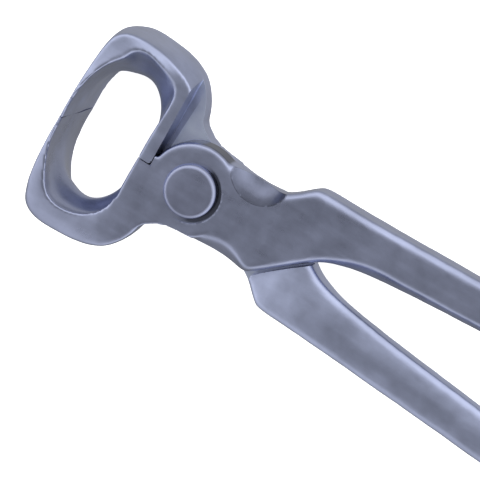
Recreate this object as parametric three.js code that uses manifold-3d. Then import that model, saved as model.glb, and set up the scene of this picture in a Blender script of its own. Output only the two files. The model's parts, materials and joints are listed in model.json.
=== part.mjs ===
// End-cutting pincers: two identical forgings, one turned half a turn about the length of the
// tool, and one rivet. Millimetres, +Z up. The origin is the middle of the rivet's flat tail face;
// +X runs from the pivot to the handles and the cutting edges meet on the plane y = 0.
import * as THREE from 'three';
import { mergeVertices } from 'three/addons/utils/BufferGeometryUtils.js';
import Module from 'manifold-3d';

const wasm = await Module();
wasm.setup();

// ---- driving dimensions -------------------------------------------------------------------
const TAIL_DEPTH = 12;          // rivet tail face below the lap plane
const HEAD_HEIGHT = 12.4;       // rivet head face above the lap plane
const HEAD_RADIUS = 10.7;
const HEAD_FLAT_RADIUS = 9.2;   // flat of the head inside its rounded edge
const TAIL_RADIUS = 9.4;
const TAIL_FLAT_RADIUS = 7.6;
const SHANK_RADIUS = 6;
const BORE_RADIUS = 6.2;
const BOSS_RADIUS = 18.5;
const BOSS_TOP = 9.7;           // outer face of the boss, from the lap plane
const WEB_TOP = 9.66;           // a hair below the boss, so that no two faces share a plane
const NECK_TOP = 9.68;
const LAP_GAP = 0.15;           // half of the gap on the lap plane
const EDGE_GAP = 0.15;          // half of the gap between the closed cutting edges
const SEAT_GAP = 0.2;           // under the rivet's head and over its tail
const SHOULDER_X = -19;
const RING_STEPS = 28;          // stations along the jaw after smoothing
const HANDLE_END_X = 293;

// ---- helpers --------------------------------------------------------------------------------
function toManifold(geometry) {
  const bare = geometry.clone();
  bare.deleteAttribute('normal');
  bare.deleteAttribute('uv');
  const merged = mergeVertices(bare, 1e-5);
  const vertProperties = new Float32Array(merged.attributes.position.array);
  const triVerts = new Uint32Array(merged.index.array);
  return new wasm.Manifold(new wasm.Mesh({ numProp: 3, vertProperties, triVerts }));
}

function toGeometry(solid) {
  const mesh = solid.getMesh();
  const geometry = new THREE.BufferGeometry();
  geometry.setAttribute('position', new THREE.BufferAttribute(mesh.vertProperties, 3));
  geometry.setIndex(new THREE.BufferAttribute(mesh.triVerts, 1));
  geometry.computeVertexNormals();
  return geometry;
}

// A closed skin through rings of the same number of points; the end rings are filled flat.
function loft(rings) {
  const count = rings[0].length;
  const position = rings.flat().flatMap((p) => [p.x, p.y, p.z]);
  const index = [];
  for (let r = 0; r < rings.length - 1; r += 1) {
    for (let i = 0; i < count; i += 1) {
      const a = r * count + i;
      const b = r * count + ((i + 1) % count);
      index.push(a, b, b + count, a, b + count, a + count);
    }
  }
  const last = (rings.length - 1) * count;
  for (let i = 1; i < count - 1; i += 1) {
    index.push(0, i + 1, i);
    index.push(last, last + i, last + i + 1);
  }
  const geometry = new THREE.BufferGeometry();
  geometry.setAttribute('position', new THREE.Float32BufferAttribute(position, 3));
  geometry.setIndex(index);
  return geometry;
}

// A flat outline, [x, y] points in order, raised from one height to another.
function slab(points, bottom, top) {
  const shape = new THREE.Shape(points.map(([x, y]) => new THREE.Vector2(x, y)));
  const geometry = new THREE.ExtrudeGeometry(shape, { depth: top - bottom, bevelEnabled: false });
  return toManifold(geometry.translate(0, 0, bottom));
}

// A round disc or rod on the pivot axis.
function round(radius, bottom, top, segments) {
  const geometry = new THREE.CylinderGeometry(radius, radius, top - bottom, segments);
  return toManifold(geometry.rotateX(Math.PI / 2).translate(0, 0, (top + bottom) / 2));
}

// ---- one forging, lying in the upper layer, jaw towards -Y and handle towards +Y ------------
// Along the jaw, from the cutting edge round to the boss. For each station: the rim of the outer
// wall on the boss side, the crest on that side, the middle of the inner wall, the inner and outer
// rims on the lap side, and the middle of the outer wall. Each is [x, distance below the closing
// plane, height from the lap plane]; the two middles lie on the lap plane.
const JAW = [
  { rim: [-57, 0, 20.3], crest: [-56.5, 0, 20.5], inner: [-56.1, 0], lapIn: [-56.5, 0, 20.5],
    lapOut: [-57, 0, 20.3], wall: [-57.1, 0] },
  { rim: [-56.9, 6, 19.8], crest: [-55.8, 5, 20.3], inner: [-55, 5], lapIn: [-56.1, 6, 20.3],
    lapOut: [-56.8, 6, 20], wall: [-57.6, 6] },
  { rim: [-56.8, 14, 18.6], crest: [-55.4, 12, 19.8], inner: [-53.6, 12], lapIn: [-55.5, 14, 19.8],
    lapOut: [-56.5, 14, 19.3], wall: [-58, 14] },
  { rim: [-56.6, 23, 17.4], crest: [-52.3, 21, 18.9], inner: [-50.8, 19.6], lapIn: [-53.5, 22, 19],
    lapOut: [-55.8, 23, 18.7], wall: [-58.4, 23] },
  { rim: [-56.2, 32, 16.2], crest: [-48.6, 28, 17.9], inner: [-46.8, 23.2], lapIn: [-49.6, 29.3, 18],
    lapOut: [-53.4, 31.6, 18.2], wall: [-58.2, 31.5] },
  { rim: [-54, 37.8, 15.4], crest: [-45.2, 30.6, 17.1], inner: [-43.8, 24.8],
    lapIn: [-46.7, 32.2, 17.3], lapOut: [-50.2, 36.2, 17.6], wall: [-55.6, 37.8] },
  { rim: [-48.8, 40.4, 14.4], crest: [-41.6, 31.7, 16.2], inner: [-40.4, 25.4],
    lapIn: [-44.6, 36.4, 16.8], lapOut: [-46.4, 39.3, 17], wall: [-49.6, 41.4] },
  { rim: [-41, 41.9, 13], crest: [-37.3, 31.7, 15], inner: [-36.6, 25.4], lapIn: [-39.6, 38.8, 15.8],
    lapOut: [-40.2, 41.4, 15.6], wall: [-41, 42.4] },
  { rim: [-30.8, 42, 11.6], crest: [-32.5, 30.4, 13.2], inner: [-32, 23.8], lapIn: [-33, 36.5, 14.4],
    lapOut: [-32.5, 40.2, 14.2], wall: [-31, 42] },
  { rim: [-22.6, 39.4, 10.6], crest: [-28.4, 27.5, 11.6], inner: [-28.3, 19.8],
    lapIn: [-27.6, 34.4, 12.6], lapOut: [-25.4, 37.6, 12.4], wall: [-22.4, 39.6] },
  { rim: [-16, 34, 9.9], crest: [-25.6, 23.6, 10.2], inner: [-25.6, 14], lapIn: [-22.5, 31, 11],
    lapOut: [-18, 34, 10.6], wall: [-15.9, 34] },
  { rim: [-9, 21.5, 9.6], crest: [-24.3, 15, 9.75], inner: [-24.3, 8], lapIn: [-23.9, 15, 9.8],
    lapOut: [-12, 22, 9.8], wall: [-9.4, 21.5] },
  { rim: [-9, 0, 9.5], crest: [-24.3, 0, 9.6], inner: [-24.3, 0], lapIn: [-23.9, 0, 9.4],
    lapOut: [-12, 0, 9.4], wall: [-9.4, 0] },
];
const CREST_HOLLOW = 0.2;       // how far the inner wall is hollowed below the crest, of its width
const LAP_HOLLOW = 0.02;        // the same on the lap side

function track(name, side) {
  const points = JAW.map((station) => {
    const [x, below, height = 0] = station[name];
    return new THREE.Vector3(x, -below, side * height);
  });
  return new THREE.CatmullRomCurve3(points, false, 'centripetal');
}

// Halfway between a rim and the middle of the inner wall, drawn back towards the outer wall.
function hollow(rim, inner, outside, amount) {
  const middle = rim.clone().lerp(inner, 0.5);
  return middle.lerp(new THREE.Vector3(outside.x, outside.y, middle.z), amount);
}

function jawArm() {
  const tracks = {
    rim: track('rim', 1),
    crest: track('crest', 1),
    inner: track('inner', 0),
    lapIn: track('lapIn', -1),
    lapOut: track('lapOut', -1),
    wall: track('wall', 0),
  };
  const rings = [];
  for (let step = 0; step <= RING_STEPS; step += 1) {
    const at = (name) => tracks[name].getPoint(step / RING_STEPS);
    const [rim, crest, inner, lapIn, lapOut, wall] = Object.keys(tracks).map(at);
    const lapSide = hollow(lapIn, inner, lapOut, LAP_HOLLOW);
    const crestSide = hollow(crest, inner, rim, CREST_HOLLOW);
    const ring = [wall, lapOut, lapIn, lapSide, inner, crestSide, crest, rim];
    ring.forEach((p) => { p.y = Math.min(p.y, -EDGE_GAP); });
    rings.push(ring);
  }
  return toManifold(loft(rings));
}

// Neck and handle: for each station along X, the inner and outer edges, the lower and upper faces,
// and how wide the bevel is along the inner edge of the upper face.
const HANDLE = [
  { x: -2, inner: -17.1, outer: 17.2, low: -2, high: NECK_TOP, bevel: 1.5 },
  { x: 8, inner: -17, outer: 17.2, low: -2, high: NECK_TOP, bevel: 1.7 },
  { x: 17, inner: -17, outer: 17.2, low: -2, high: NECK_TOP, bevel: 6.4 },
  { x: 23, inner: -17, outer: 17.2, low: -2, high: NECK_TOP, bevel: 6.6 },
  { x: 31, inner: -17, outer: 17.4, low: -2, high: NECK_TOP, bevel: 3.2 },
  { x: 34, inner: -16.2, outer: 19.8, low: -2, high: NECK_TOP, bevel: 2 },
  { x: 42.5, inner: -8.9, outer: 26.6, low: -3.5, high: 9.4, bevel: 1.7 },
  { x: 46, inner: -5.8, outer: 27, low: -4.4, high: 9.1, bevel: 1.7 },
  { x: 54, inner: 0.9, outer: 27, low: -5.6, high: 8.2, bevel: 1.8 },
  { x: 62, inner: 4.6, outer: 27, low: -6.4, high: 7.5, bevel: 2.6 },
  { x: 72, inner: 6.5, outer: 27.3, low: -6.4, high: 7, bevel: 5 },
  { x: 84, inner: 8.2, outer: 27.9, low: -6.2, high: 6.6, bevel: 4 },
  { x: 114, inner: 11.2, outer: 29.4, low: -5.6, high: 5.8, bevel: 3 },
  { x: 138, inner: 13.2, outer: 30.7, low: -5.2, high: 5.2, bevel: 2.6 },
  { x: 180, inner: 16.6, outer: 33, low: -5, high: 5, bevel: 2.4 },
  { x: 230, inner: 19.2, outer: 34.4, low: -4.8, high: 4.8, bevel: 2.4 },
  { x: 272, inner: 19.6, outer: 34.2, low: -4.6, high: 4.6, bevel: 2.4 },
  { x: 286, inner: 20.4, outer: 33.3, low: -4.2, high: 4.2, bevel: 2.4 },
  { x: 291, inner: 22, outer: 31.6, low: -3.2, high: 3.2, bevel: 2.4 },
  { x: HANDLE_END_X, inner: 24.6, outer: 28.8, low: -1.6, high: 1.6, bevel: 1.4 },
];
const EDGE_BEVEL = 2.4;         // width of the bevel along every other long edge
const BEVEL_DEPTH = 1.5;        // how far a bevel goes down the side of the handle
const STEEPNESS = 1.3;          // width of a deep bevel over its depth

function neckAndHandle() {
  const rings = HANDLE.map(({ x, inner, outer, low, high, bevel }) => {
    const side = Math.min(EDGE_BEVEL, (outer - inner) / 3);
    const face = Math.min(BEVEL_DEPTH, (high - low) / 3);
    const innerFace = Math.max(face, bevel * STEEPNESS);
    const corners = [
      [outer - side, low], [outer, low + face], [outer, high - face], [outer - side, high],
      [inner + bevel, high], [inner, high - innerFace], [inner, low + face], [inner + side, low],
    ];
    return corners.map(([y, z]) => new THREE.Vector3(x, y, z));
  });
  return toManifold(loft(rings));
}

// The web between the jaw and the boss, up to the waist.
const WEB = [
  [-24.2, -0.3], [-24.2, -14.5], [-20.5, -28.5], [-14.8, -31.2], [-12.1, -26.1], [-9.1, -21.4],
  [-5, -18.1], [0, -16.9], [0.5, -0.3],
];

// Everything below the lap plane that the other half needs clear, from closed to fully open.
const LAP_CLEARANCE = [
  [SHOULDER_X, -60], [38, -60], [56, -3], [54.6, 0.4], [47.4, 6.2], [39.6, 13.2], [35.4, 17.6],
  [34, 60], [SHOULDER_X, 60],
];
// The outline of the waist, where boss and neck are dressed back.
const WAIST = [
  [-5, -18.4], [-1.8, -16.9], [3, -16.2], [7.7, -15.8], [16.7, -16.2], [24, -16.5], [34, -16.8],
  [34, -30], [-5, -30],
];
const SCOOP_RADIUS = 15;
const SCOOP_CENTRE = [21, 21, 17.5];    // thumb-sized hollow beside the boss

function forging() {
  const boss = round(BOSS_RADIUS, -2, BOSS_TOP, 64);
  const web = slab(WEB, -3, WEB_TOP);
  const lap = slab(LAP_CLEARANCE, -40, LAP_GAP);
  const scoop = toManifold(new THREE.SphereGeometry(SCOOP_RADIUS, 40, 24).translate(...SCOOP_CENTRE));
  const bore = round(BORE_RADIUS, -40, 40, 48);
  const waist = slab(WAIST, -40, 40);
  const body = jawArm().add(web).add(boss).add(neckAndHandle());
  return [lap, waist, scoop, bore].reduce((left, cut) => left.subtract(cut), body);
}

// ---- rivet: head above, shank through both bosses, tail below --------------------------------
function rivet() {
  const headSeat = BOSS_TOP + SEAT_GAP;
  const edge = (HEAD_RADIUS - HEAD_FLAT_RADIUS);
  const profile = [
    [0, -TAIL_DEPTH], [TAIL_FLAT_RADIUS, -TAIL_DEPTH], [TAIL_RADIUS, -TAIL_DEPTH + 1],
    [TAIL_RADIUS, -headSeat], [SHANK_RADIUS, -headSeat], [SHANK_RADIUS, headSeat],
    [HEAD_RADIUS, headSeat], [HEAD_RADIUS, HEAD_HEIGHT - edge * 0.7],
    [HEAD_RADIUS - edge * 0.3, HEAD_HEIGHT - edge * 0.2], [HEAD_FLAT_RADIUS, HEAD_HEIGHT],
    [0, HEAD_HEIGHT],
  ];
  const geometry = new THREE.LatheGeometry(profile.map(([r, h]) => new THREE.Vector2(r, h)), 64);
  return toManifold(geometry.rotateX(Math.PI / 2));
}

// ---- the assembly ------------------------------------------------------------------------------
function steel(color, roughness) {
  return new THREE.MeshStandardMaterial({ color, roughness, metalness: 1 });
}

const half = toGeometry(forging());

const frontHalf = new THREE.Mesh(half, steel(0x8b8f9e, 0.38));
frontHalf.name = 'front_half';
frontHalf.position.z = TAIL_DEPTH;

const rearHalf = new THREE.Mesh(half.clone(), steel(0x8b8f9e, 0.38));
rearHalf.name = 'rear_half';
rearHalf.rotation.x = Math.PI;
rearHalf.position.z = TAIL_DEPTH;

const pivotRivet = new THREE.Mesh(toGeometry(rivet()), steel(0x858999, 0.34));
pivotRivet.name = 'pivot_rivet';
pivotRivet.position.z = TAIL_DEPTH;

const pincers = new THREE.Group();
pincers.add(frontHalf, rearHalf, pivotRivet);

export default pincers;
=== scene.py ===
"""End-cutting pincers: two forgings lapped on a rivet, lying on a pale table under a soft tent."""
import json
import math

import bmesh
import bpy
from mathutils import Matrix, Vector


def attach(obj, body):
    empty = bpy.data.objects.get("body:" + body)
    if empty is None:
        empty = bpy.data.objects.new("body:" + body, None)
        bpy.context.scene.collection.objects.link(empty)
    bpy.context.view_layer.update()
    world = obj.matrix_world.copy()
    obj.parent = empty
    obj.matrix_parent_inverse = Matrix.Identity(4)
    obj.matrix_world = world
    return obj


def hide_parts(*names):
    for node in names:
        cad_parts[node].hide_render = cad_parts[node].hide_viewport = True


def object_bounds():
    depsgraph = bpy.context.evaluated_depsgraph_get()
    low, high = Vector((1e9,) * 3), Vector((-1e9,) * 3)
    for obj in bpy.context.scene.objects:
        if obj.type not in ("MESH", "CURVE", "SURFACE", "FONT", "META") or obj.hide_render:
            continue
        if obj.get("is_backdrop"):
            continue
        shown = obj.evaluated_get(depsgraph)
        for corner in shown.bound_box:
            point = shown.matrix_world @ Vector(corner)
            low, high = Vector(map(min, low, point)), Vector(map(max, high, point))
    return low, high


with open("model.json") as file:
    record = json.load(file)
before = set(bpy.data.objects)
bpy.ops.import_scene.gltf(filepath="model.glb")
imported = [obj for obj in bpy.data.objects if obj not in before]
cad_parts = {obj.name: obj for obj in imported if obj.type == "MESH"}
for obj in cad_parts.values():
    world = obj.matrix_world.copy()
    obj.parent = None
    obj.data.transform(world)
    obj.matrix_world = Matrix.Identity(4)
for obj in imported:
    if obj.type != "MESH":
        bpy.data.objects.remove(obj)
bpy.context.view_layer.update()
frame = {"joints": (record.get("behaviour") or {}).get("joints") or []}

# ---- sizes, in millimetres unless a name says otherwise ------------------------------------------
MM = 0.001
LAP = frame["joints"][0]["pos_m"][2]            # height of the lap plane, metres
BOSS_RADIUS = 18.5
BOSS_TOP = 9.7
LAP_GAP = 0.15                                  # half of the gap between the bosses
EDGE_GAP = 0.15                                 # half of the gap between the closed edges
SHOULDER_X = -19
BORE_RADIUS = 6.2
GRAIN = 0.55                                    # spacing of the skin's points
BOSS_ROUND = 1.6
BLOCK_FOOT = -3                                 # where boss and web start, below the lap plane
THROUGH = 40                                    # far enough to cut right through a forging
HEAD_RADIUS = 10.7
HEAD_TOP = 12.4
HEAD_ROUND = 2
HEAD_GAP = 0.1                                  # between the boss and the rivet's head or tail
SHANK_RADIUS = 6
SHANK_END = 11
TAIL_RADIUS = 9.4
TAIL_TOP = 12.0


def at(x, y, z):
    """A place given in millimetres from the pivot on the lap plane."""
    return Vector((x * MM, y * MM, z * MM + LAP))


# ---- working by hand on a mesh -------------------------------------------------------------------
def settle(name):
    piece = bpy.context.object
    piece.name = name
    piece.data.name = name
    bpy.ops.object.transform_apply(location=True, rotation=True, scale=True)
    return piece


def only(piece):
    bpy.ops.object.select_all(action="DESELECT")
    piece.select_set(True)
    bpy.context.view_layer.objects.active = piece


def finish_with(piece, kind, **settings):
    """Adds one modifier and applies it."""
    only(piece)
    modifier = piece.modifiers.new(kind.lower(), kind)
    for key, value in settings.items():
        setattr(modifier, key, value)
    bpy.ops.object.modifier_apply(modifier=modifier.name)


def combine(piece, others, operation):
    for other in others:
        finish_with(piece, "BOOLEAN", operation=operation, object=other, solver="MANIFOLD")
        bpy.data.objects.remove(other)


def sweep(name, sections, creases, levels):
    """Extrudes one closed section through all the others, creases the long edges and subdivides."""
    bpy.ops.object.select_all(action="DESELECT")
    bpy.ops.mesh.primitive_circle_add(vertices=len(sections[0]), radius=0.01, fill_type="NGON")
    piece = bpy.context.object
    piece.name = name
    bpy.ops.object.mode_set(mode="EDIT")
    mesh = bmesh.from_edit_mesh(piece.data)
    ring = list(mesh.verts)
    for vert, place in zip(ring, sections[0]):
        vert.co = place
    for last, section in zip(sections, sections[1:]):
        bmesh.update_edit_mesh(piece.data)
        bpy.ops.mesh.extrude_region_move()
        mesh = bmesh.from_edit_mesh(piece.data)
        moved = [vert for vert in mesh.verts if vert.select]
        still = [vert for vert in mesh.verts if not vert.select]
        old = [min(still, key=lambda v: (v.co - place).length_squared) for place in last]
        ring = [min(moved, key=lambda v: (v.co - vert.co).length_squared) for vert in old]
        for vert, place in zip(ring, section):
            vert.co = place
    bmesh.update_edit_mesh(piece.data)
    bpy.ops.mesh.select_all(action="SELECT")
    bpy.ops.mesh.normals_make_consistent(inside=False)
    bpy.ops.object.mode_set(mode="OBJECT")
    crease_lines(piece, sections, creases)
    finish_with(piece, "SUBSURF", levels=levels, render_levels=levels)
    return piece


def crease_lines(piece, sections, creases):
    """Creases the edges that run from section to section at each corner."""
    mesh = bmesh.new()
    mesh.from_mesh(piece.data)
    layer = mesh.edges.layers.float.new("crease_edge")
    corners = [(place, row, i) for row, section in enumerate(sections) for i, place in enumerate(section)]
    home = {}
    for vert in mesh.verts:
        home[vert] = min(corners, key=lambda corner: (vert.co - corner[0]).length_squared)[1:]
    for edge in mesh.edges:
        (row, first), (next_row, second) = (home[vert] for vert in edge.verts)
        if first == second:
            edge[layer] = (creases[row][first] + creases[next_row][first]) / 2
    mesh.to_mesh(piece.data)
    mesh.free()


def slab(name, outline, bottom, top):
    """A flat outline filled and extruded upwards."""
    bpy.ops.object.select_all(action="DESELECT")
    bpy.ops.mesh.primitive_circle_add(vertices=len(outline), radius=0.01, fill_type="NGON")
    piece = bpy.context.object
    for vert, (x, y) in zip(piece.data.vertices, outline):
        vert.co = at(x, y, bottom)
    bpy.ops.object.mode_set(mode="EDIT")
    bpy.ops.mesh.select_all(action="SELECT")
    bpy.ops.mesh.extrude_region_move(TRANSFORM_OT_translate={"value": (0, 0, (top - bottom) * MM)})
    bpy.ops.mesh.select_all(action="SELECT")
    bpy.ops.mesh.normals_make_consistent(inside=False)
    bpy.ops.object.mode_set(mode="OBJECT")
    return settle(name)


def disc(name, radius, bottom, top, x=0, y=0):
    bpy.ops.mesh.primitive_cylinder_add(
        vertices=96, radius=radius * MM, depth=(top - bottom) * MM, location=at(x, y, (top + bottom) / 2)
    )
    return settle(name)


def round_top(piece, top, width):
    """Rounds the edge round a flat top."""
    only(piece)
    bpy.ops.object.mode_set(mode="EDIT")
    bpy.ops.mesh.select_mode(type="EDGE")
    bpy.ops.mesh.select_all(action="DESELECT")
    mesh = bmesh.from_edit_mesh(piece.data)
    for edge in mesh.edges:
        edge.select = all(vert.co.z > at(0, 0, top - 0.1).z for vert in edge.verts)
    bmesh.update_edit_mesh(piece.data)
    bpy.ops.mesh.bevel(offset=width * MM, segments=8, profile=0.5)
    bpy.ops.object.mode_set(mode="OBJECT")
    return piece


# ---- one forging, as the front half lies: jaw towards -Y, handle towards +Y ----------------------
# Round the jaw from just past the cutting edge to the boss. Each station gives the rim of the outer
# wall on the boss side, the crest, the middle of the inner wall, the inner and outer rims on the
# lap side and the middle of the outer wall, as x, distance below the closing plane, height.
JAW = [
    (
        (-57, -5, 20.2), (-55.6, -5, 20.7), (-55.4, -5),
        (-55.6, -5, 20.7), (-57, -5, 20.2), (-57.1, -5),
    ),
    (
        (-57, 0, 20.2), (-55.6, 0, 20.6), (-55.4, 0),
        (-55.6, 0, 20.6), (-57, 0, 20.2), (-57.1, 0),
    ),
    (
        (-57.2, 6, 19.8), (-55.7, 5, 20.4), (-55.1, 5),
        (-55.8, 6, 20.4), (-57.1, 6, 20), (-58.2, 6),
    ),
    (
        (-57.4, 14, 18.6), (-55.5, 12, 19.9), (-54.7, 12),
        (-55.6, 14, 19.9), (-56.8, 14, 19.3), (-58.6, 14),
    ),
    (
        (-57.2, 23, 17.4), (-52.3, 21, 19), (-51.8, 19.6),
        (-53.5, 22, 19.1), (-56.8, 22.8, 17.8), (-58.9, 23),
    ),
    (
        (-56.4, 32, 15.7), (-48.6, 28, 18), (-46.8, 23.2),
        (-49.4, 29.5, 18.9), (-55.8, 32.1, 17.6), (-58.8, 31.9),
    ),
    (
        (-54.5, 38.8, 13.7), (-45.1, 30.5, 17.7), (-42.8, 23.6),
        (-46.1, 32.2, 18.2), (-53.9, 38.9, 17.2), (-57, 40.1),
    ),
    (
        (-49.1, 41.9, 13.0), (-41.5, 31.6, 16.7), (-39.7, 23.9),
        (-45.1, 36.9, 17.7), (-48.8, 41.9, 16.6), (-50.2, 42.6),
    ),
    (
        (-42, 42.5, 12), (-37.2, 31.6, 15.5), (-36.5, 24.1),
        (-40.0, 39.3, 16.7), (-40.4, 42.2, 14.7), (-42, 42.6),
    ),
    (
        (-31.2, 42.4, 9.9), (-32.4, 30.3, 13.9), (-33, 22.9),
        (-32.8, 36.7, 15.3), (-32.7, 40.9, 13.3), (-31, 42.6),
    ),
    (
        (-22.3, 40.2, 8.4), (-28.4, 27.5, 12), (-29.6, 18.7),
        (-27.6, 34.4, 12.6), (-25.4, 38.0, 12.4), (-21.6, 41),
    ),
    (
        (-15.2, 34.6, 9), (-25.6, 23.6, 10.4), (-27.2, 12.8),
        (-22.5, 31, 11), (-18, 34.4, 10.6), (-15, 34.8),
    ),
    (
        (-9, 21.5, 9.6), (-24.3, 15, 9.8), (-25.4, 8),
        (-24.6, 15, 9.8), (-12, 22, 9.8), (-8.8, 22),
    ),
    (
        (-9, 0, 9.5), (-24.9, 0, 9.6), (-25.3, 0),
        (-24.6, 0, 9.4), (-12, 0, 9.4), (-9.4, 0),
    ),
    (
        (-9, -4, 9.5), (-24.9, -4, 9.6), (-25.3, -4),
        (-24.6, -4, 9.4), (-12, -4, 9.4), (-9.4, -4),
    ),
]
CREST_HOLLOW = 0.3
BROW = 0.9                                      # how full the side face is between crest and rim
LAP_HOLLOW = 0.05


def hollow(rim, inner, outside, amount):
    """Halfway down the inner wall from a rim, drawn back towards the outer wall."""
    middle = rim.lerp(inner, 0.5)
    return middle.lerp(Vector((outside.x, outside.y, middle.z)), amount)


def jaw_sections():
    sections = []
    for row, (rim, crest, inner, lap_in, lap_out, wall) in enumerate(JAW):
        rim, crest = at(rim[0], -rim[1], rim[2]), at(crest[0], -crest[1], crest[2])
        inner, wall = at(inner[0], -inner[1], 0), at(wall[0], -wall[1], 0)
        lap_in, lap_out = at(lap_in[0], -lap_in[1], -lap_in[2]), at(lap_out[0], -lap_out[1], -lap_out[2])
        lap_side = hollow(lap_in, inner, lap_out, LAP_HOLLOW)
        crest_side = hollow(crest, inner, rim, CREST_HOLLOW)
        fullness = BROW if 5 <= row <= 11 else 0
        brow = crest.lerp(rim, 0.5) + Vector((0, 0, fullness * MM))
        sections.append([wall, lap_out, lap_in, lap_side, inner, crest_side, crest, brow, rim])
    return sections


# How sharp each corner is kept, in the order of the sections: near the edge, round the bend, at the
# shoulder.
EDGE_CREASES = [0, 0.7, 1, 0, 0, 0, 0.6, 0, 0.7]
BEND_CREASES = [0, 0.65, 0.5, 0, 0, 0, 0.55, 0, 0.4]
SHOULDER_CREASES = [0, 0.7, 0.9, 0, 0.2, 0, 0.8, 0, 0.6]
JAW_CREASES = [EDGE_CREASES] * 5 + [BEND_CREASES] * 6 + [SHOULDER_CREASES] * 4

# Along the neck and handle: x, inner and outer edge, lower and upper face, and the width of the
# bevel on the inner edge of the upper face.
HANDLE = [
    (-6, -17, 17.2, -2, 9.7, 1.5),
    (8, -17, 17.2, -2, 9.7, 1.7),
    (17, -17, 17.2, -2, 9.7, 6.2),
    (24, -17, 17.2, -2, 9.7, 6.4),
    (30.5, -17, 17.4, -2, 9.7, 3.4),
    (33.5, -16.5, 19.4, -2, 9.7, 2.2),
    (36, -14.5, 21.2, -2.2, 9.7, 2),
    (41, -10.2, 25.6, -3.2, 9.5, 1.9),
    (43, -8.4, 26.9, -3.6, 9.4, 1.9),
    (46, -5.8, 27.1, -4.4, 9.1, 1.9),
    (54, 0.9, 27, -5.6, 8.2, 2),
    (60, 3.9, 27, -6.3, 7.6, 2.6),
    (66, 5.4, 27, -6.5, 7.2, 3.8),
    (74, 6.8, 27.4, -6.4, 6.9, 5),
    (84, 8.2, 27.9, -6.2, 6.6, 4.2),
    (98, 9.8, 28.6, -5.9, 6.2, 3.4),
    (116, 11.4, 29.5, -5.6, 5.8, 3),
    (138, 13.2, 30.7, -5.2, 5.2, 2.8),
    (180, 16.6, 33, -5, 5, 2.6),
    (230, 19.2, 34.4, -4.8, 4.8, 2.6),
    (270, 19.6, 34.2, -4.6, 4.6, 2.6),
    (284, 20, 33.5, -4.4, 4.4, 2.6),
    (290.5, 21.6, 32, -3.6, 3.6, 2.4),
    (293, 24, 29.6, -2, 2, 1.4),
]
EDGE_BEVEL = 2.3
BEVEL_DEPTH = 1.5
STEEPNESS = 1.3
HANDLE_CREASES = [[0.4, 0.4, 0.5, 0.45, 0, 0.4, 0.4, 0.4, 0.4, 0]] * len(HANDLE)
UPPER_CROWN = 0.25
LOWER_CROWN = 1.2


def handle_sections():
    sections = []
    for x, inner, outer, low, high, bevel in HANDLE:
        side = min(EDGE_BEVEL, (outer - inner) / 3)
        face = min(BEVEL_DEPTH, (high - low) / 3)
        inner_face = max(face, bevel * STEEPNESS)
        arch = min(1, max(0, (x - 34) / 20))
        corners = [
            (outer - side, low), (outer, low + face), (outer, high - face), (outer - side, high),
            ((outer - side + inner + bevel) / 2, high + UPPER_CROWN * arch),
            (inner + bevel, high), (inner, high - inner_face), (inner, low + face), (inner + side, low),
            ((outer + inner) / 2, low - LOWER_CROWN * arch),
        ]
        sections.append([at(x, y, z) for y, z in corners])
    return sections


WEB = [
    (-24.6, 4), (-24.6, -14.5), (-21.8, -23), (-16.2, -27), (-12.6, -25.2), (-9.3, -21.2),
    (-5, -18.3), (0, -17.1), (0.5, 4),
]
# Below the lap plane everything past the shoulder is cut away, out to where the other half's
# handle never comes.
LAP_CUT = [
    (SHOULDER_X, -60), (38, -60), (56, -3), (54.6, 0.4), (47.4, 6.2), (39.6, 13.2), (35.4, 17.6),
    (34, 60), (SHOULDER_X, 60),
]
# The jaw stops at the closing plane, and the boss carries on past it.
CLOSING_CUT = [
    (-70, -EDGE_GAP), (-18.75, -EDGE_GAP), (-18.75, 40), (-70, 40),
]
# The corners of the finger's end, taken off below the lap plane.
FINGER_CORNERS = [
    [(-27, -1.6), (-24.9, -1.6), (-23.9, -0.1), (-23.9, 1), (-27, 1)],
    [(-18.6, -1.1), (-19.1, -1.1), (-19.8, -0.1), (-19.8, 1), (-18.6, 1)],
]
WAIST = [
    (-5, -18.4), (-1.8, -16.9), (3, -16.2), (7.7, -15.8), (16.7, -16.2), (24, -16.5), (31, -16.8),
    (31, -30), (-5, -30),
]
SWELL = 0.4                                     # unevenness left by the hammer
SWELL_SIZE = 16
SCOOP_AT = (21, 21.4, 17.5)
SCOOP_RADIUS = 15
# The seat round the rivet head leans, so that it fades out on the jaw side and cuts into the neck.
SEAT_RADIUS = 12.2
SEAT_AT = (0.9, -0.4)
SEAT_LEAN = math.radians(7)
SEAT_DEPTH = 0.3


def scoop():
    bpy.ops.mesh.primitive_uv_sphere_add(
        segments=96, ring_count=48, radius=SCOOP_RADIUS * MM, location=at(*SCOOP_AT)
    )
    return settle("scoop")


def seat():
    bpy.ops.mesh.primitive_cylinder_add(
        vertices=96, radius=SEAT_RADIUS * MM, depth=12 * MM,
        location=at(*SEAT_AT, BOSS_TOP - SEAT_DEPTH + 6), rotation=(0, SEAT_LEAN, 0),
    )
    return settle("seat")


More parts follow.
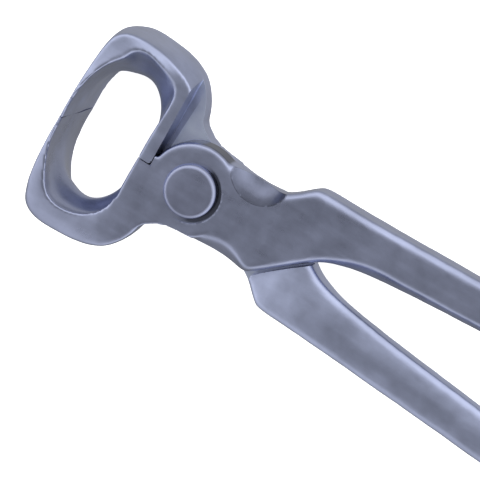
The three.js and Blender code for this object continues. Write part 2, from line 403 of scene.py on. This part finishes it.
def forging():
    """One half: joined blocks, skinned over evenly and eased, then the fitted faces cut crisp."""
    half = sweep("front_forging", jaw_sections(), JAW_CREASES, 3)
    blocks = [
        sweep("reins", handle_sections(), HANDLE_CREASES, 3),
        slab("web", WEB, BLOCK_FOOT, BOSS_TOP - 0.05),
        round_top(disc("boss", BOSS_RADIUS, BLOCK_FOOT, BOSS_TOP), BOSS_TOP, BOSS_ROUND),
    ]
    combine(half, blocks, "UNION")
    finish_with(half, "REMESH", mode="VOXEL", voxel_size=GRAIN * MM, use_smooth_shade=True)
    swell = bpy.data.textures.new("swell", "CLOUDS")
    swell.noise_scale = SWELL_SIZE * MM
    finish_with(half, "DISPLACE", texture=swell, texture_coords="LOCAL", strength=SWELL * MM, mid_level=0.5)
    finish_with(half, "SMOOTH", factor=0.5, iterations=6)
    cuts = [
        slab("lap_cut", LAP_CUT, -THROUGH, LAP_GAP),
        slab("closing_cut", CLOSING_CUT, -THROUGH, THROUGH),
        slab("waist_cut", WAIST, -THROUGH, THROUGH),
        *(slab("corner_cut", corner, -THROUGH, -0.5) for corner in FINGER_CORNERS),
        scoop(),
        seat(),
        disc("bore", BORE_RADIUS, -THROUGH, THROUGH),
    ]
    combine(half, cuts, "DIFFERENCE")
    ease_edges(half)
    return half


def ease_edges(piece):
    """Takes the razor off the cut edges, as a file would."""
    only(piece)
    bpy.ops.object.mode_set(mode="EDIT")
    bpy.ops.mesh.select_all(action="DESELECT")
    bpy.ops.mesh.select_mode(type="EDGE")
    bpy.ops.mesh.edges_select_sharp(sharpness=math.radians(40))
    bpy.ops.mesh.select_mode(type="VERT")
    bpy.ops.mesh.vertices_smooth(factor=0.4, repeat=1)
    bpy.ops.object.mode_set(mode="OBJECT")
    bpy.ops.object.shade_smooth_by_angle(angle=math.radians(38))


def turned_over(piece, name):
    """The other half: the same forging turned half a turn about the tool's length."""
    other = bpy.data.objects.new(name, piece.data.copy())
    bpy.context.scene.collection.objects.link(other)
    centre = Matrix.Translation((0, 0, LAP))
    other.data.transform(centre @ Matrix.Rotation(math.pi, 4, "X") @ centre.inverted())
    other.data.name = name
    return other


def rivet():
    """A shank with a flat round head and a smaller dressed tail."""
    piece = disc("rivet", HEAD_RADIUS, BOSS_TOP + HEAD_GAP, HEAD_TOP)
    round_top(piece, HEAD_TOP, HEAD_ROUND)
    shank = disc("shank", SHANK_RADIUS, -SHANK_END, SHANK_END)
    tail = disc("tail", TAIL_RADIUS, -TAIL_TOP, -BOSS_TOP - HEAD_GAP)
    combine(piece, [shank, tail], "UNION")
    bpy.ops.object.shade_smooth_by_angle(angle=math.radians(35))
    return piece


# ---- finishes ------------------------------------------------------------------------------------
class Wire:
    """A value inside a finish; sums on it become Math nodes."""

    def __init__(self, finish, socket):
        self.finish = finish
        self.socket = socket

    def math(self, operation, first, second):
        return self.finish.node("ShaderNodeMath", {"operation": operation}, {0: first, 1: second})

    def __add__(self, other):
        return self.math("ADD", self, other)

    def __sub__(self, other):
        return self.math("SUBTRACT", self, other)

    def __rsub__(self, other):
        return self.math("SUBTRACT", other, self)

    def __mul__(self, other):
        return self.math("MULTIPLY", self, other)

    __radd__ = __add__
    __rmul__ = __mul__


class Finish:
    """A material built from nodes."""

    def __init__(self, name):
        self.material = bpy.data.materials.new(name)
        self.material.use_nodes = True
        self.tree = self.material.node_tree
        self.tree.nodes.clear()

    def node(self, kind, settings=None, values=None, out=0):
        made = self.tree.nodes.new(kind)
        for key, value in (settings or {}).items():
            if key == "stops":
                self.set_stops(made.color_ramp, value)
            else:
                setattr(made, key, value)
        for key, value in (values or {}).items():
            if isinstance(value, Wire):
                self.tree.links.new(value.socket, made.inputs[key])
            else:
                made.inputs[key].default_value = value
        return Wire(self, made.outputs[out]) if made.outputs else None

    @staticmethod
    def set_stops(ramp, stops):
        while len(ramp.elements) < len(stops):
            ramp.elements.new(0.5)
        for element, (place, colour) in zip(ramp.elements, stops):
            element.position = place
            element.color = (*colour, 1)

    def cloud(self, scale, detail, stretch=(1, 1, 1), rough=0.55, twist=0.0):
        """Soft noise fixed to the piece; stretch squeezes it along each axis."""
        where = self.node("ShaderNodeTexCoord", out="Object")
        where = self.node("ShaderNodeMapping", {}, {0: where, "Scale": stretch})
        values = {"Vector": where, "Scale": scale, "Detail": detail, "Roughness": rough, "Distortion": twist}
        return self.node("ShaderNodeTexNoise", {}, values)

    def place(self):
        """Height off the lap plane, distance from the rivet's axis, place along the tool, and a
        value above 0 where the half's own boss and handle are."""
        where = self.node("ShaderNodeTexCoord", out="Object")
        split = self.node("ShaderNodeSeparateXYZ", {}, {0: where})
        x, y, z = (Wire(self, split.socket.node.outputs[axis]) for axis in "XYZ")
        height = self.node("ShaderNodeMath", {"operation": "ABSOLUTE"}, {0: z - LAP})
        square = x * x + y * y
        radius = self.node("ShaderNodeMath", {"operation": "SQRT"}, {0: square})
        return height, radius, x, (z - LAP) * y * (1 / MM)

    def between(self, value, start, stop):
        """Goes smoothly from 0 at the start to 1 at the stop, in millimetres."""
        settings = {"interpolation_type": "SMOOTHSTEP"}
        values = {"Value": value, "From Min": start * MM, "From Max": stop * MM}
        return self.node("ShaderNodeMapRange", settings, values)

    def lap_face(self):
        """The flat where the halves slide on each other, from the shoulder to the handles."""
        height, _, along, _ = self.place()
        stretch = self.between(along, -19.6, -18.8) * self.between(along, 37, 35)
        return self.between(height, 0.5, 0.25) * stretch

    def painted_shade(self):
        """Painted shade: darker in the corner below the boss, in the seat beside the rivet head and, more
        lightly, inside the scoop.
        """
        height, radius, along, side = self.place()
        own_side = self.between(side, 0, 2)
        rim = own_side * self.between(radius, 17.3, 17.9) * self.between(radius, 20.5, 18.7)
        rim = rim * self.between(along, 9, 6)
        # Painted shade on the boss wall, in the corner below the boss.
        wall = rim * self.between(height, 0.1, 0.4) * self.between(height, 9, 7.5)
        # Painted shade in the seat beside the rivet head, on the neck side.
        seat_shade = self.between(radius, 10.3, 10.8) * self.between(radius, 12.7, 11.4) * self.between(along, 1, 8)
        return wall + seat_shade * self.between(height, 6, 7) + self.scoop_shade() * own_side * 0.35

    def scoop_shade(self):
        """Painted shade, darker inside the scoop."""
        where = self.node("ShaderNodeTexCoord", out="Object")
        where = self.node("ShaderNodeVectorMath", {"operation": "SUBTRACT"}, {0: where, 1: (0, 0, LAP)})
        where = self.node("ShaderNodeVectorMath", {"operation": "ABSOLUTE"}, {0: where})
        centre = Vector(SCOOP_AT) * MM
        settings = {"operation": "DISTANCE"}
        away = self.node("ShaderNodeVectorMath", settings, {0: where, 1: centre}, out="Value")
        return self.between(away, 15.5, 15.1) * self.between(self.place()[2], 4, 6)

    def steel(self, colour, base, roughness, normal):
        values = {
            "Base Color": base, "Metallic": 1.0, "Roughness": roughness, "Normal": normal,
        }
        shader = self.node("ShaderNodeBsdfPrincipled", {}, values)
        self.node("ShaderNodeOutputMaterial", {}, {0: shader})
        self.material.diffuse_color = (*colour, 1)
        return self.material


def ground_steel(name, colour, rough):
    """Forged steel, linished and lightly tumbled: soft mottling, fine belt marks, bright edges."""
    finish = Finish(name)
    mottle = finish.cloud(70, 5, rough=0.6)
    stain = finish.cloud(22, 3, twist=0.6)
    marks = finish.cloud(260, 6, stretch=(0.12, 1, 1))
    speck = finish.cloud(2600, 2)
    dent = finish.cloud(45, 1)
    edge = finish.node("ShaderNodeNewGeometry", out="Pointiness")
    # scale holds the painted shade mask: darker below the boss, beside the rivet head and inside the scoop.
    lapped, scale = finish.lap_face(), finish.painted_shade()
    worn = finish.node(
        "ShaderNodeMapRange", {}, {"Value": edge, "From Min": 0.54, "From Max": 0.66}
    )
    tone = mottle * 0.4 + stain * 0.4 + marks * 0.15 + worn * 0.15 + lapped * 0.3 - scale * 0.9
    dark = [c * 0.72 for c in colour]
    light = [min(1, c * 1.3) for c in colour]
    bright = [min(1, c * 2) for c in colour]
    black = [c * 0.3 for c in colour]
    stops = [(0, black), (0.3, dark), (0.68, light), (1, bright)]
    base = finish.node("ShaderNodeValToRGB", {"stops": stops}, {0: tone})
    roughness = rough + (mottle - 0.5) * 0.16 + (marks - 0.5) * 0.1 - worn * 0.08
    height = marks * 0.3 + speck * 0.05 + mottle * 1.2 + dent * 4
    normal = finish.node(
        "ShaderNodeBump", {}, {"Strength": 0.35, "Distance": 0.00035, "Height": height}
    )
    return finish.steel(colour, base, roughness, normal)


def table_white():
    """Pale matt board, lit from below as well, so that shadows stay faint."""
    finish = Finish("pale_table")
    grain = finish.cloud(40, 3)
    base = finish.node("ShaderNodeValToRGB", {"stops": [(0, (0.86,) * 3), (1, (0.9,) * 3)]}, {0: grain})
    values = {"Base Color": base, "Roughness": 0.9, "Emission Color": (1, 1, 1, 1), "Emission Strength": 0.8}
    shader = finish.node("ShaderNodeBsdfPrincipled", {}, values)
    finish.node("ShaderNodeOutputMaterial", {}, {0: shader})
    return finish.material


# ---- the room ------------------------------------------------------------------------------------
FACING = Vector((0.165, 0.255, 0.9528)).normalized()    # from the pincers to the camera
ROLL = math.radians(32.4)                               # how far +X falls below level
AIM = at(24.45, -8.51, 0)
FRAME_WIDTH = 184.6 * MM
LENS = 300
SENSOR = 36


def camera():
    across = (Vector((1, 0, 0)) - FACING.x * FACING).normalized()
    upright = FACING.cross(across)
    right = math.cos(ROLL) * across + math.sin(ROLL) * upright
    up = FACING.cross(right)
    data = bpy.data.cameras.new("camera")
    data.lens = LENS
    data.sensor_width = SENSOR
    data.clip_start = 0.01
    data.clip_end = 20
    eye = bpy.data.objects.new("camera", data)
    bpy.context.scene.collection.objects.link(eye)
    turn = Matrix((right, up, FACING)).transposed().to_4x4()
    eye.matrix_world = Matrix.Translation(AIM + FACING * FRAME_WIDTH * LENS / SENSOR) @ turn
    bpy.context.scene.camera = eye


def lamp(name, direction, distance, size, power, glossy=True):
    data = bpy.data.lights.new(name, "AREA")
    data.shape = "DISK"
    data.size = size
    data.energy = power
    light = bpy.data.objects.new(name, data)
    bpy.context.scene.collection.objects.link(light)
    away = Vector(direction).normalized()
    light.location = AIM + away * distance
    light.rotation_euler = away.to_track_quat("Z", "Y").to_euler()
    light.visible_glossy = glossy


# The tent's brightness from straight away from the dim spot (0) to the middle of it (1), and how
# much of that is left from the dark side (0) to the bright side (1) of the room.
DIM_SPOT = Vector((0.02, -0.34, 0.94)).normalized()
TENT = [
    (0, 0.62), (0.2, 0.55), (0.42, 0.75), (0.58, 1.3), (0.72, 1.45), (0.85, 1.05), (0.93, 0.7),
    (0.985, 0.29), (1, 0.25),
]
BRIGHT_SIDE = Vector((0.1, 0.8, 0.6)).normalized()
SIDES = [(0, 0.36), (0.12, 0.5), (0.3, 0.92), (0.6, 1), (1, 1.04)]


def tent():
    """A soft tent, dim overhead where the camera looks in and brighter on one side."""
    world = bpy.data.worlds.new("tent")
    bpy.context.scene.world = world
    world.use_nodes = True
    tree = world.node_tree
    tree.nodes.clear()
    place = tree.nodes.new("ShaderNodeTexCoord")
    product = tree.nodes.new("ShaderNodeMath")
    product.operation = "MULTIPLY"
    for i, (axis, stops) in enumerate(((DIM_SPOT, TENT), (BRIGHT_SIDE, SIDES))):
        toward = tree.nodes.new("ShaderNodeVectorMath")
        toward.operation = "DOT_PRODUCT"
        toward.inputs[1].default_value = axis
        half = tree.nodes.new("ShaderNodeMath")
        half.operation = "MULTIPLY_ADD"
        half.inputs[1].default_value = 0.5
        half.inputs[2].default_value = 0.5
        ramp = tree.nodes.new("ShaderNodeValToRGB")
        Finish.set_stops(ramp.color_ramp, [(where, (level,) * 3) for where, level in stops])
        tree.links.new(place.outputs["Generated"], toward.inputs[0])
        tree.links.new(toward.outputs["Value"], half.inputs[0])
        tree.links.new(half.outputs[0], ramp.inputs[0])
        tree.links.new(ramp.outputs[0], product.inputs[i])
    back = tree.nodes.new("ShaderNodeBackground")
    out = tree.nodes.new("ShaderNodeOutputWorld")
    tree.links.new(product.outputs[0], back.inputs["Strength"])
    tree.links.new(back.outputs[0], out.inputs[0])
    back.inputs["Color"].default_value = (1, 1, 1, 1)


def table():
    bpy.ops.mesh.primitive_plane_add(size=3, location=(0, 0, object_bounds()[0][2] - 0.1 * MM))
    board = settle("table")
    board.data.materials.append(table_white())
    board.visible_glossy = False
    board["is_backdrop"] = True


# ---- assembly ------------------------------------------------------------------------------------
front = forging()
rear = turned_over(front, "rear_forging")
pin = rivet()

forged = ground_steel("linished_forging", (0.375, 0.41, 0.57), 0.3)
# Painted light: the rear half is the same steel as the front, given a lighter colour.
painted_lighter_steel = ground_steel("forging_painted_lighter", (0.4, 0.44, 0.61), 0.33)
turned = ground_steel("turned_rivet", (0.34, 0.37, 0.52), 0.3)
for piece, finish, slot, node, body in (
    (front, forged, "forged_steel", "front_half", "front"),
    (rear, painted_lighter_steel, "forged_steel", "rear_half", "rear"),
    (pin, turned, "rivet_steel", "pivot_rivet", "rear"),
):
    piece.data.materials.clear()
    piece.data.materials.append(finish)
    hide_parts(node)
    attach(piece, body)

camera()
tent()
table()
lamp("key", (0.35, 0.8, 0.6), 1.2, 0.5, 8, glossy=False)
lamp("fill", (-0.6, -0.5, 0.8), 1.4, 0.8, 4, glossy=False)
bpy.context.scene.view_settings.view_transform = "Standard"
